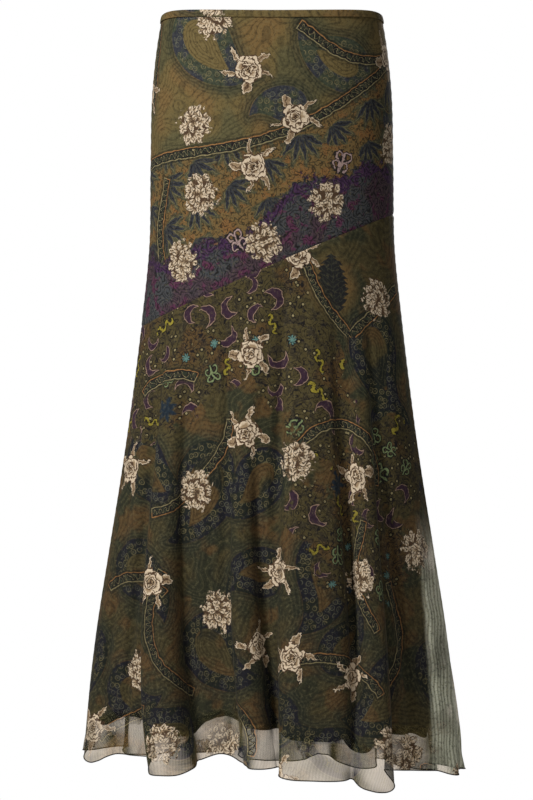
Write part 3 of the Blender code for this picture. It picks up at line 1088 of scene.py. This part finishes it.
def draw_open_rose(art, x, y, away):
    """An open rose of nested petals, with a few long pointed leaves of unequal lengths."""
    r, turn = polar(x, y)
    r = r + away
    step = 2 * np.pi / 5
    swing = sine(turn * 2 + 0.8)
    fold = (turn + 0.5 + swing * 0.22 + r * 0.012) % step - step / 2
    along = r * cosine(fold) + sine(turn * 3 + 0.4) * 4.5 + swing * 4
    beside = r * sine(fold)
    reach = (along - 23) / 11.5
    leaf = abs(abs(beside) - 1) - (1 - reach * reach) * (2.9 + swing * 0.9)
    art.lay(filled(leaf - 1) * 0.8, DARK, DENSE)
    art.lay(filled(leaf), mixed(smooth(leaf, -1.4, -0.5), SAND, CREAM), SOLID)
    ribs = larger(stroke(beside, 0.55), smooth(bands(along / 3.8 - abs(beside) * 0.35), 0.3, 0.1) * 0.8)
    art.lay(ribs * filled(leaf + 0.6), BARK, SOLID)
    for radius, lobes, turned, cut, moved_x, moved_y in ROSE_RINGS:
        ring_r, ring_turn = polar(x - moved_x, y - moved_y)
        ring_r = ring_r + away
        wave = abs(cosine((ring_turn - turned) * (lobes / 2)))
        edge = ring_r - radius * (1 - cut) - wave * (radius * cut)
        petal = filled(edge)
        art.lay(petal, mixed(smooth(edge, -0.4 * radius, -0.14 * radius), SAND, CREAM), SOLID)
        between = stroke(wave * ring_r * (2 / lobes), 0.6) * petal
        art.lay(larger(stroke(edge - 0.3, 0.8), between), BARK, SOLID)
    coil = abs((r / 2.9 + turn / (2 * np.pi)) % 1 - 0.5) * 2.9
    art.lay(stroke(coil, 0.5) * filled(r - 5.2), SEPIA, SOLID)


PETAL_STEP = 7
CLUSTER_ACROSS, CLUSTER_DOWN = 23.5, 25.5


def draw_cluster(art, flat, x, y, away):
    """A ragged oval bunch of small pointed petals, most of which point outwards."""
    torn = wobble(flat, flat, 5, 4)
    to_x, to_y, _ = apart(cells(torn, PETAL_STEP, 0.85, out="Position").vector("SUBTRACT", torn))
    root_x, root_y = x + to_x, y - to_y
    own, oval = (
        (across * across / CLUSTER_ACROSS**2 + up * up / CLUSTER_DOWN**2) ** 0.5 + away
        for across, up in ((x, y), (root_x, root_y))
    )
    kept = smooth(oval, 1, 0.96)
    _, outwards = polar(root_x, root_y)
    lean = outwards + sine(root_x * 0.9 + root_y * 0.4) * 0.9
    lean_x, lean_y = cosine(lean), sine(lean)
    along = to_y * lean_y - to_x * lean_x
    beside = to_x * lean_y + to_y * lean_x
    edge = abs(beside) - (1 - abs(along) / 7.6) * 3.6
    art.lay(larger(filled(edge - 1.1) * kept, smooth(own, 0.82, 0.74)), BARK, SOLID)
    petal = filled(edge) * kept
    art.lay(petal, mixed(smooth(along + abs(beside), -1.6, 3), SAND, CREAM), SOLID)
    rib = stroke(beside - 0.3, 0.5) * smooth(along, 5.4, 3) * filled(edge + 0.4) * kept
    art.lay(larger(rib, stroke(edge + 0.1, 0.35) * kept * 0.8), SEPIA, SOLID)


def draw_roses(art, finish, flat):
    local = finish.places("rose")
    kind = apart(local)[2]
    shaken = wobble(local, flat, 8, 10)
    x, y, _ = apart(shaken)
    draw_cluster(art, flat, x, y, (1 - is_kind(kind, 2)) * FAR)
    draw_open_rose(art, x, y, (1 - is_kind(kind, 1)) * FAR)


def draw_fan(art, x, y, zone):
    """A fan of dark pointed blades with pale outlines, spreading from its foot over a dull shell."""
    r, turn = polar(x, y + 18)
    lean = turn - np.pi / 2
    step = np.radians(26)
    fold = (lean + step / 2) % step - step / 2
    spread = (abs(lean) - np.radians(63)) * 20
    reach = (r - 18.5) / 15.5
    blade = larger(abs(fold * r) - (1 - reach * reach) * 2.5, spread)
    art.lay(smooth(blade, 7, 2.4) * zone * 0.85, SPRUCE, MEDIUM)
    art.lay(stroke(blade - 1.5, 0.45) * zone * 0.8, GLINT, DENSE)
    art.lay(smooth(blade, 1, -0.2) * zone, DUSK, MEDIUM)
    art.lay(stroke(fold * r, 0.5) * filled(blade + 0.8) * zone, NIGHT, DENSE)


def draw_crescent(art, x, y, zone):
    outer, _ = polar(x, y)
    inner, _ = polar(x - 7.8, y - 1.6)
    edge = larger(outer - 12.2, 11 - inner)
    art.lay(filled(edge - 1.2) * zone, DARK, MEDIUM)
    art.lay(filled(edge) * zone, AUBERGINE, MEDIUM)
    art.lay(stroke(edge, 0.45) * zone, ROSEWOOD, DENSE)


def draw_daisy(art, x, y, zone):
    r, turn = polar(x, y)
    petals = r - 1.6 - abs(cosine(turn * 4)) * 4
    art.lay(filled(petals - 1.6) * zone, NIGHT, DENSE)
    art.lay(filled(petals) * zone, SKY, DENSE)


SCROLL_BEND = 3.5


def draw_scroll(art, x, y, zone):
    """A chain of round bends, one up and one down, with a stroke that swells and thins."""
    place = x % (2 * SCROLL_BEND) - SCROLL_BEND
    up = smooth(x % (4 * SCROLL_BEND), 2 * SCROLL_BEND - 0.1, 2 * SCROLL_BEND + 0.1) * 2 - 1
    r, _ = polar(place, y)
    bend = larger(abs(r - SCROLL_BEND) - 1.1 - abs(sine(x * 0.2)) * 0.7, y * up - 0.9)
    edge = larger(bend, abs(x) - 14)
    art.lay(filled(edge - 1.2) * zone, DARK, DENSE)
    art.lay(filled(edge) * zone, YELLOW, DENSE)


def draw_curls(art, x, y, zone, shade):
    """A stem with two pairs of hooks that rise from it and curl over."""
    aside = abs(x)
    level = y % 10 - 5
    r, turn = polar(aside - 4.8, level)
    hook = larger(abs(r - 3.8) - 0.9, smooth(turn, -2.2, -1) * -5 + 1)
    hook = larger(hook, abs(y) - 10)
    stem = larger(aside - 0.9, abs(y + 3) - 10)
    both = hook.maths("MINIMUM", stem)
    art.lay(filled(both - 1.2) * zone, NIGHT, DENSE)
    art.lay(filled(both) * zone, shade, DENSE)


def draw_burst(art, x, y, zone):
    """A loose burst of pointed petals."""
    r, turn = polar(x, y)
    fold = (turn + 0.2) % (2 * np.pi / 7) - np.pi / 7
    reach = (r - 7) / 7
    edge = abs(fold * r) - (1 - reach * reach) * 2.2
    art.lay(smooth(edge, 2, -0.6) * zone, COBALT, MEDIUM)


def draw_toothed_leaf(art, x, y, zone):
    """A broad pointed leaf with toothed sides, on a brown ground of its own."""
    r, _ = polar(x, y)
    art.lay(smooth(r, 46, 20) * zone * 0.75, BROWN, THIN)
    teeth = bands(abs(y) / 6.5 + abs(x) / 15)
    edge = abs(x) - (1 - y * y / 37**2) * 17 - teeth * 6.5
    art.lay(smooth(edge, 1.8, -0.6) * zone, CHARCOAL, MEDIUM)
    veins = smooth(bands(y / 7 - abs(x) / 11), 0.3, 0.1)
    art.lay(larger(veins, stroke(x, 0.5)) * filled(edge + 1.6) * zone * 0.35, SHELL, MEDIUM)


def flowing_lines(flat):
    """Fine lines that run slanting over the cloth and bend round one another."""
    across, down, _ = apart(flat)
    return bands(flat.noise(58, detail=1) * 9 + across / 21 + down / 13)


def yoke_print(finish, flat):
    """Olive above, brown with fans below it, and a purple band along the slanting seam."""
    band, below, _ = apart(finish.places("zone"))
    slow = flat.noise(72, detail=1)
    art = Print(mixed(smooth(slow, 0.36, 0.5), MOSS, OLIVE), THIN)
    art.lay(smooth(slow, 0.52, 0.64), BROWN, THIN)
    lay_lines(art, flowing_lines(flat), 0.42)
    lower = filled(below * -1)
    patches = flat.noise(17, detail=3, roughness=0.6)
    art.lay(lower, mixed(smooth(patches, 0.5, 0.6), BROWN, RUST), THIN)
    worms = bands(flat.noise(13) * 4.5)
    lay_lines(art, worms, lower * 0.85, pale=SHELL)
    draw_paisley(art, finish.places("paisley"), flat, OLIVE, (DUSK, SPRUCE))
    motif = finish.places("motif")
    x, y, kind = apart(wobble(motif, flat, 9, 6))
    draw_fan(art, x, y, lower * is_kind(kind, FAN))
    draw_ribbon(art, finish.places("ribbon"), flat)
    rough = (flat.noise(12, detail=3, roughness=0.65) - 0.5) * 40
    edge = band + rough
    purple = smooth(edge, -1.6, 1.6)
    art.lay(purple, mixed(smooth(slow, 0.46, 0.53), SLATE, PLUM), MEDIUM)
    art.lay(smooth(patches, 0.54, 0.62) * purple, MAGENTA, MEDIUM)
    art.lay(smooth(abs(edge - 10) - patches * 13, 1, -3) * purple, VIOLET, MEDIUM)
    curls = bands(cells(wobble(flat, flat, 26, 24), 21, 1) / 4.6)
    lay_lines(art, curls, purple * 0.9, NIGHT, MAUVE)
    art.lay(stroke(edge - 2, 1) * 0.8, NIGHT, DENSE)
    draw_curls(art, x, y, is_kind(kind, SPRIG), BLUSH)
    return art


# How high above the hem the sheer strip at the left side starts, and where it is clear, in millimetres.
STRIP_STARTS, STRIP_CLEAR = 350, 250


def sheer_strip(to_hem, beyond):
    """1 in the strip at the left side where a panel hangs beyond the lining, from where it starts on down."""
    return smooth(beyond, -4, 4) * smooth(to_hem, STRIP_STARTS, STRIP_CLEAR)


def panel_print(finish, flat):
    """A ground of olive and brown with paisleys and ribbons, and patches of small garden motifs."""
    inside, to_hem, beyond = apart(finish.places("zone"))
    slow = flat.noise(70)
    art = Print(mixed(smooth(slow, 0.4, 0.54), DEEP_MOSS, DEEP_OLIVE), THIN)
    warm = flat.noise(46)
    art.lay(smooth(warm, 0.49, 0.6), DEEP_BROWN, THIN)
    art.lay(smooth(warm, 0.6, 0.72), DEEP_RUST, THIN)
    lay_lines(art, flowing_lines(flat), 0.46)
    core = mixed(smooth(warm, 0.45, 0.56), mixed(smooth(slow, 0.44, 0.54), FOREST, DEEP_OLIVE), DEEP_BROWN)
    draw_paisley(art, finish.places("paisley"), flat, core, (NAVY, FOREST))
    rough = (flat.noise(15, detail=3, roughness=0.6) - 0.5) * 50
    garden = smooth(inside + rough, -3, 3)
    art.lay(garden, mixed(smooth(slow, 0.36, 0.48), DEEP_BROWN, DEEP_OLIVE), THIN)
    foliage = flat.noise(13, detail=4, roughness=0.72)
    art.lay(smooth(foliage, 0.5, 0.56) * garden * 0.6, FOLIAGE, MEDIUM)
    vines = smooth(bands(flat.noise(20) * 7), 0.26, 0.1)
    art.lay(vines * garden, NIGHT, DENSE)
    motif = finish.places("motif")
    x, y, kind = apart(wobble(motif, flat, 16, 7))
    draw_burst(art, x, y, garden * is_kind(kind, BURST))
    dots = cells(flat, 14, 1)
    strewn = smooth(warm, 0.49, 0.51) * garden
    art.lay(filled(dots - 3) * strewn, DARK, DENSE)
    art.lay(filled(dots - 1.6) * strewn, STRAW, DENSE)
    drawings = ((CRESCENT, draw_crescent), (DAISY, draw_daisy), (SCROLL, draw_scroll))
    for number, draw in drawings:
        draw(art, x, y, garden * is_kind(kind, number))
    draw_curls(art, x, y, garden * is_kind(kind, CURL), MINT)
    draw_toothed_leaf(art, x, y, is_kind(kind, LEAF))
    draw_ribbon(art, finish.places("ribbon"), flat)
    strip = sheer_strip(to_hem, beyond)
    threads = bands(flat.noise(60, detail=1) * 2 + beyond / 4.4)
    art.lay(strip * 0.75, SHELL, HEAVY)
    art.lay(smooth(threads, -0.5, 1) * strip, PEWTER, 0.88)
    # Painted shade: the print darkens towards the hem, except in the sheer strip and just above the hem.
    lower = smooth(to_hem, 520, 150) * (1 - strip)
    art.lay(lower * smooth(to_hem, 40, 60) * 0.36, DARK, MEDIUM)
    return art


# ---------------- finishes

# The sizes of the crepe's and the lining's grain in millimetres, and of the thread's in metres.
CREPE_GRAIN, LINING_GRAIN, THREAD_GRAIN = 1.5, 0.6, 0.0012
CREPE_RELIEF, THREAD_RELIEF = 0.25 * MM, 0.2 * MM
PRINTED_ROUGHNESS, PRINTED_SHEEN = 0.82, 0.03


def cloth_shader(finish, colour, cover, flat, grain, roughness, sheen):
    """A matt cloth shader with a fine crepe grain raised from its flat places."""
    crepe = flat.noise(grain, roughness=0.6)
    normal = finish.node("Bump", {}, {"Strength": 0.35, "Distance": CREPE_RELIEF, "Height": crepe})
    tone = mixed(smooth(crepe, 0.3, 0.7), (0.9, 0.9, 0.9, 1), (1.08, 1.08, 1.08, 1))
    sockets = {"Base Color": multiplied(colour, tone), "Roughness": roughness, "Normal": normal}
    sockets |= {"Specular IOR Level": 0.12, "Sheen Weight": sheen, "Sheen Roughness": 0.5, "Alpha": cover}
    return finish.finished_with(finish.node("BsdfPrincipled", {}, sockets))


def flat_millimetres(finish):
    return finish.node("UVMap", {"uv_map": "cloth"}).vector("MULTIPLY", (1000, 1000, 0))


# What share of its inks' cover the sheer cloth has, how far that drifts, and what being turned edge on adds.
SHEER_COVER, SHEER_DRIFT, TURNED_COVER = 0.62, 0.5, 0.5
LINING_GREY = (LINING_SHOWS, LINING_SHOWS, LINING_SHOWS, 1)


def printed_cloth(name, draw, backed=None):
    """The printed cloth: its print, and the roses on top. It lies on the lining, which shows through it, and
    backed, if given, tells where it does: elsewhere it is sheer and watered by its threads."""
    finish = new_finish(name)
    flat = flat_millimetres(finish)
    art = draw(finish, flat)
    mottle = flat.noise(4.6, roughness=0.7)
    art.lay(smooth(mottle, 0.5, 0.66) * 0.42, DARK, MEDIUM)
    art.lay(smooth(mottle, 0.44, 0.3) * 0.26, GLINT, MEDIUM)
    draw_roses(art, finish, flat)
    # The lining, darkened as painted shade, shows through the open share of the print's cover.
    on_lining = mixed(art.cover, LINING_GREY, art.ink)
    grain = (flat, CREPE_GRAIN, PRINTED_ROUGHNESS, PRINTED_SHEEN)
    if not backed:
        return cloth_shader(finish, on_lining, 1, *grain)
    lies = backed(finish)
    water = bands(flat.noise(95, detail=1) * 8 + apart(flat)[0] / 3.6)
    drift = smooth(flat.noise(70, detail=1), 0.4, 0.6)
    thick = art.cover * (SHEER_COVER + drift * SHEER_DRIFT) + apart(finish.places("turned"))[0] * TURNED_COVER
    cover = blended(lies, thick + (water - 0.5) * 0.08, 1)
    return cloth_shader(finish, mixed(lies, art.ink, on_lining), cover, *grain)


def panel_backed(finish):
    """1 where a panel has the lining close behind it."""
    _, to_hem, beyond = apart(finish.places("zone"))
    above = smooth(to_hem, LINING_SHORTER / MM + 4, LINING_SHORTER / MM + 12)
    return above * (1 - sheer_strip(to_hem, beyond))


def lining_finish():
    finish = new_finish("lining_cloth")
    flat = flat_millimetres(finish)
    across, down, _ = apart(flat)
    twill = ((across + down) / 1.1) % 1
    tone = mixed(smooth(twill, 0.2, 0.8), (0.014, 0.012, 0.008, 1), (0.02, 0.017, 0.011, 1))
    return cloth_shader(finish, tone, 1, flat, LINING_GRAIN, 0.7, 0)


def thread_finish(name, dark, light):
    """Close overlocking thread, speckled light and dark."""
    finish = new_finish(name)
    speck = finish.object_places().noise(THREAD_GRAIN, detail=1)
    colour = mixed(smooth(speck, 0.35, 0.65), dark, light)
    normal = finish.node("Bump", {}, {"Strength": 0.6, "Distance": THREAD_RELIEF, "Height": speck})
    sockets = {"Base Color": colour, "Roughness": 0.7, "Normal": normal, "Specular IOR Level": 0.3}
    return finish.finished_with(finish.node("BsdfPrincipled", {}, sockets))


# ---------------- the pieces

YOKE_COLUMNS, YOKE_ROWS = 180, 110
PANEL_COLUMNS, PANEL_ROWS = 330, 170
LINING_COLUMNS, LINING_ROWS = 170, 110
HALVES = ("front", "back")


def yokes(material):
    for half, side in enumerate(HALVES):
        shape = (YOKE_COLUMNS, YOKE_ROWS, below_casing, seam_down, flat_straight, yoke_zones)
        piece, _, flat, area = printed_piece(f"yoke_{side}", half, *shape, material)


def panels(material, thread):
    for half, side in enumerate(HALVES):
        shape = (PANEL_COLUMNS, PANEL_ROWS, seam_down, hem_down, flat_panel, panel_zones)
        piece, points, flat, area = printed_piece(f"panel_{side}", half, *shape, material)
        roll = roll_of_cloth(f"rolled_hem_{side}", points[-1], HEM_ROLL, thread)


# The lining's hem, the groove above it, and how much of the outer cloth's creases the lining takes up.
LINING_HEM_BAND, LINING_GROOVE = 9 * MM, 0.5 * MM
LINING_CREASED = 0.6


def linings(material, thread):
    for half, side in enumerate(HALVES):
        shape = (LINING_COLUMNS, LINING_ROWS, lining_surface)
        angle, down = cloth_grid(*shape, half, below_casing, lining_hem_down)
        points = lining_surface(angle, down)
        band = np.clip((lining_hem_down(angle) - down) / LINING_HEM_BAND, 0, 1)
        groove = LINING_GROOVE * np.exp(-(((1 - band) / 0.12) ** 2)) * (band < 1)
        raised = LINING_CREASED * creases(angle, down) + side_relief(angle, down) - groove
        points = raise_cloth(points, raised)
        flat = flat_straight(flat_across(angle, down, half), down, half)
        faces = grid_faces(*angle.shape)
        piece = cloth_piece(f"lining_{side}", points, flat, faces, material)
        size, area = flat_size(flat, points)
        row = lining_surface(angle[-1], lining_hem_down(angle[-1]) - LINING_HEM_BAND)
        row = row + STITCH_PROUD * outward_row(row)
        sewn = stitches(f"lining_hem_stitches_{side}", row, 2.4 * MM, 0.2 * MM, thread)


def outward_row(row):
    """Level unit vectors out of the skirt along a row of points that runs round it."""
    return unit(np.cross(np.gradient(row, axis=0), [0, 0, -1.0]))


CASING_COLUMNS = 420
CASING_ROUND = 1.5 * MM
CASING_INNER = 2.6 * MM
FRONT_DIP, SIDE_DIP = 4.5 * MM, 6 * MM


def top_dip(angle):
    """How much lower the casing lies in the middle of the front, and where it turns over the sides."""
    return FRONT_DIP * np.clip(np.sin(angle), 0, 1) ** 2 + SIDE_DIP * np.abs(np.cos(angle)) ** 12


def casing(material, thread):
    """The turned casing: cloth over elastic, up its outside, over its round top and down its inside."""
    angle = even_turns(CASING_COLUMNS)
    turn = np.linspace(0, np.pi, 13)
    outside = np.linspace(CASING_HEIGHT, CASING_ROUND, 8)[:-1]
    inner = np.linspace(CASING_ROUND, CASING_HEIGHT, 7)[1:]
    inset = np.concatenate([np.zeros(7), CASING_INNER / 2 * (1 - np.cos(turn)), np.full(6, CASING_INNER)])
    depth = np.concatenate([outside, CASING_ROUND * (1 - np.sin(turn)), inner])
    puckers = 0.2 * np.sin(angle * 52 + 1.5 * np.sin(angle * 9)) + 0.1 * np.sin(angle * 97)
    swell = np.sin(np.pi * np.clip((depth - CASING_ROUND) / (CASING_HEIGHT - CASING_ROUND), 0, 1))
    ring = surface(angle, np.full_like(angle, CASING_HEIGHT / 2))
    out = -outward_row(np.concatenate([ring, ring[:1]]))[:-1] * np.array([1, 1, 0])
    lowered = top_dip(angle)[:, None] * np.array([0, 0, 1])
    points = surface(angle[None], depth[:, None]) - lowered
    side = np.where(inset < CASING_INNER / 2, 1, -1)
    push = CASING_PROUD - inset[:, None] + MM * swell[:, None] * side[:, None] * (0.15 + puckers)
    points = points + push[..., None] * out
    faces = grid_faces(*points.shape[:2], joined=True)[:, ::-1]
    unrolled = CASING_HEIGHT - np.cumsum(np.append(0, np.hypot(np.diff(depth), np.diff(inset))))
    angle, unrolled = np.broadcast_arrays(angle[None], unrolled[:, None])
    flat = together(-arc(angle, 0 * angle), unrolled) / MM
    piece = cloth_piece("waist_casing", points, flat, faces, material)
    in_front = (np.arange(len(faces)) % CASING_COLUMNS < CASING_COLUMNS // 2)[:, None, None]
    placed = []
    for half, side in enumerate(HALVES):
        flat = flat_straight(flat_across(angle, unrolled, half), unrolled, half)
        zones = yoke_zones(flat, angle, unrolled, half).reshape(-1, 3)[faces]
        placed.append({"zone": zones, **print_places(f"yoke_{side}", flat.reshape(-1, 2), faces)})
    for kind, places in placed[0].items():
        set_places(piece.data, kind, np.where(in_front, places, placed[1][kind]))
    angle = angle[0]
    low = surface(angle, np.full_like(angle, CASING_HEIGHT - 0.9 * MM))
    row = low + (CASING_PROUD + STITCH_PROUD) * out - lowered
    sewn = stitches("casing_stitches", np.concatenate([row, row[:1]]), 2.2 * MM, 0.19 * MM, thread)


# ---------------- floor, light and camera

FLOOR_DOWN, FLOOR_RADIUS, FLOOR_BEVEL, FLOOR_THICK = 1.1, 1.05, 0.002, 0.012
ROOM_LIGHT = 0.15
BACKDROP = (0.86, 0.76, 0.65, 1)

# Each light's name, its place, what it points at, its width and height, and its watts.
LIGHTS = (
    ("key_light", (-1.9, -2.1, 1.2), (0, 0, -0.4), (0.6, 0.9), 93),
    ("fill_light", (1.6, -3.0, 0.4), (0, 0, -0.5), (1.6, 2.0), 11),
    ("back_light", (0.9, 3.0, 1.0), (0, 0, -0.5), (1.6, 2.0), 60),
)

# The camera, and the height that it takes in, in metres. Its sensor is in millimetres.
CAMERA_AWAY, CAMERA_DOWN, CAMERA_ACROSS = 6.5, 0.4987, -0.007
FRAME_HEIGHT = 1.028
SENSOR = 36


def floor():
    finish = new_finish("studio_floor")
    tone = mixed(finish.object_places().noise(0.4), (0.7, 0.7, 0.69, 1), (0.74, 0.74, 0.73, 1))
    material = finish.finished_with(finish.node("BsdfPrincipled", {}, {"Base Color": tone, "Roughness": 0.6}))
    turn = even_turns(96)
    inner = FLOOR_RADIUS - FLOOR_BEVEL
    rings = [(FLOOR_RADIUS, FLOOR_THICK), (FLOOR_RADIUS, FLOOR_BEVEL), (inner, 0)]
    points = np.array([[(r * np.cos(a), r * np.sin(a), -FLOOR_DOWN - d) for a in turn] for r, d in rings])
    sides = grid_faces(len(rings), len(turn), joined=True).tolist()
    top = list(range(2 * len(turn), 3 * len(turn)))
    new_mesh("floor", points, [*sides, top], material)


def world():
    """A white room that lights the skirt softly, with a warm backdrop that shows through the sheer cloth."""
    made = bpy.data.worlds.new("studio")
    bpy.context.scene.world = made
    room = Finish(made)
    seen = room.node("LightPath", out="Is Camera Ray")
    through = room.node("LightPath", out="Transparent Depth").maths("GREATER_THAN", 0.5)
    sockets = {"Color": mixed(through, (1, 1, 1, 1), BACKDROP), "Strength": blended(seen, ROOM_LIGHT, 1.0)}
    room.finished_with(room.node("Background", {}, sockets), "OutputWorld")


def soft_light(name, place, target, size, watts):
    lamp = bpy.data.lights.new(name, "AREA")
    lamp.shape, lamp.size, lamp.size_y, lamp.energy = "RECTANGLE", size[0], size[1], watts
    holder = put_in_scene(name, lamp)
    holder.location = place
    way = np.array(target) - np.array(place)
    from_above = np.arctan2(np.hypot(way[0], way[1]), -way[2])
    holder.rotation_euler = (from_above, 0, np.arctan2(-way[0], way[1]))


def camera():
    lens = bpy.data.cameras.new("camera")
    lens.sensor_width = SENSOR
    lens.lens = SENSOR * CAMERA_AWAY / FRAME_HEIGHT
    holder = put_in_scene("camera", lens)
    holder.location = (CAMERA_ACROSS, -CAMERA_AWAY, -CAMERA_DOWN)
    holder.rotation_euler = (np.pi / 2, 0, 0)
    bpy.context.scene.camera = holder


def main():
    hem_thread = thread_finish("hem_thread", (0.012, 0.009, 0.006, 1), (0.035, 0.027, 0.018, 1))
    olive_thread = thread_finish("olive_thread", (0.03, 0.026, 0.014, 1), (0.075, 0.064, 0.036, 1))
    over_lining = printed_cloth("yoke_print", yoke_print)
    yokes(over_lining)
    panels(printed_cloth("panel_print", panel_print, panel_backed), hem_thread)
    linings(lining_finish(), olive_thread)
    casing(over_lining, olive_thread)
    floor()
    world()
    for light in LIGHTS:
        soft_light(*light)
    camera()
    bpy.context.scene.view_settings.view_transform = "Standard"


main()
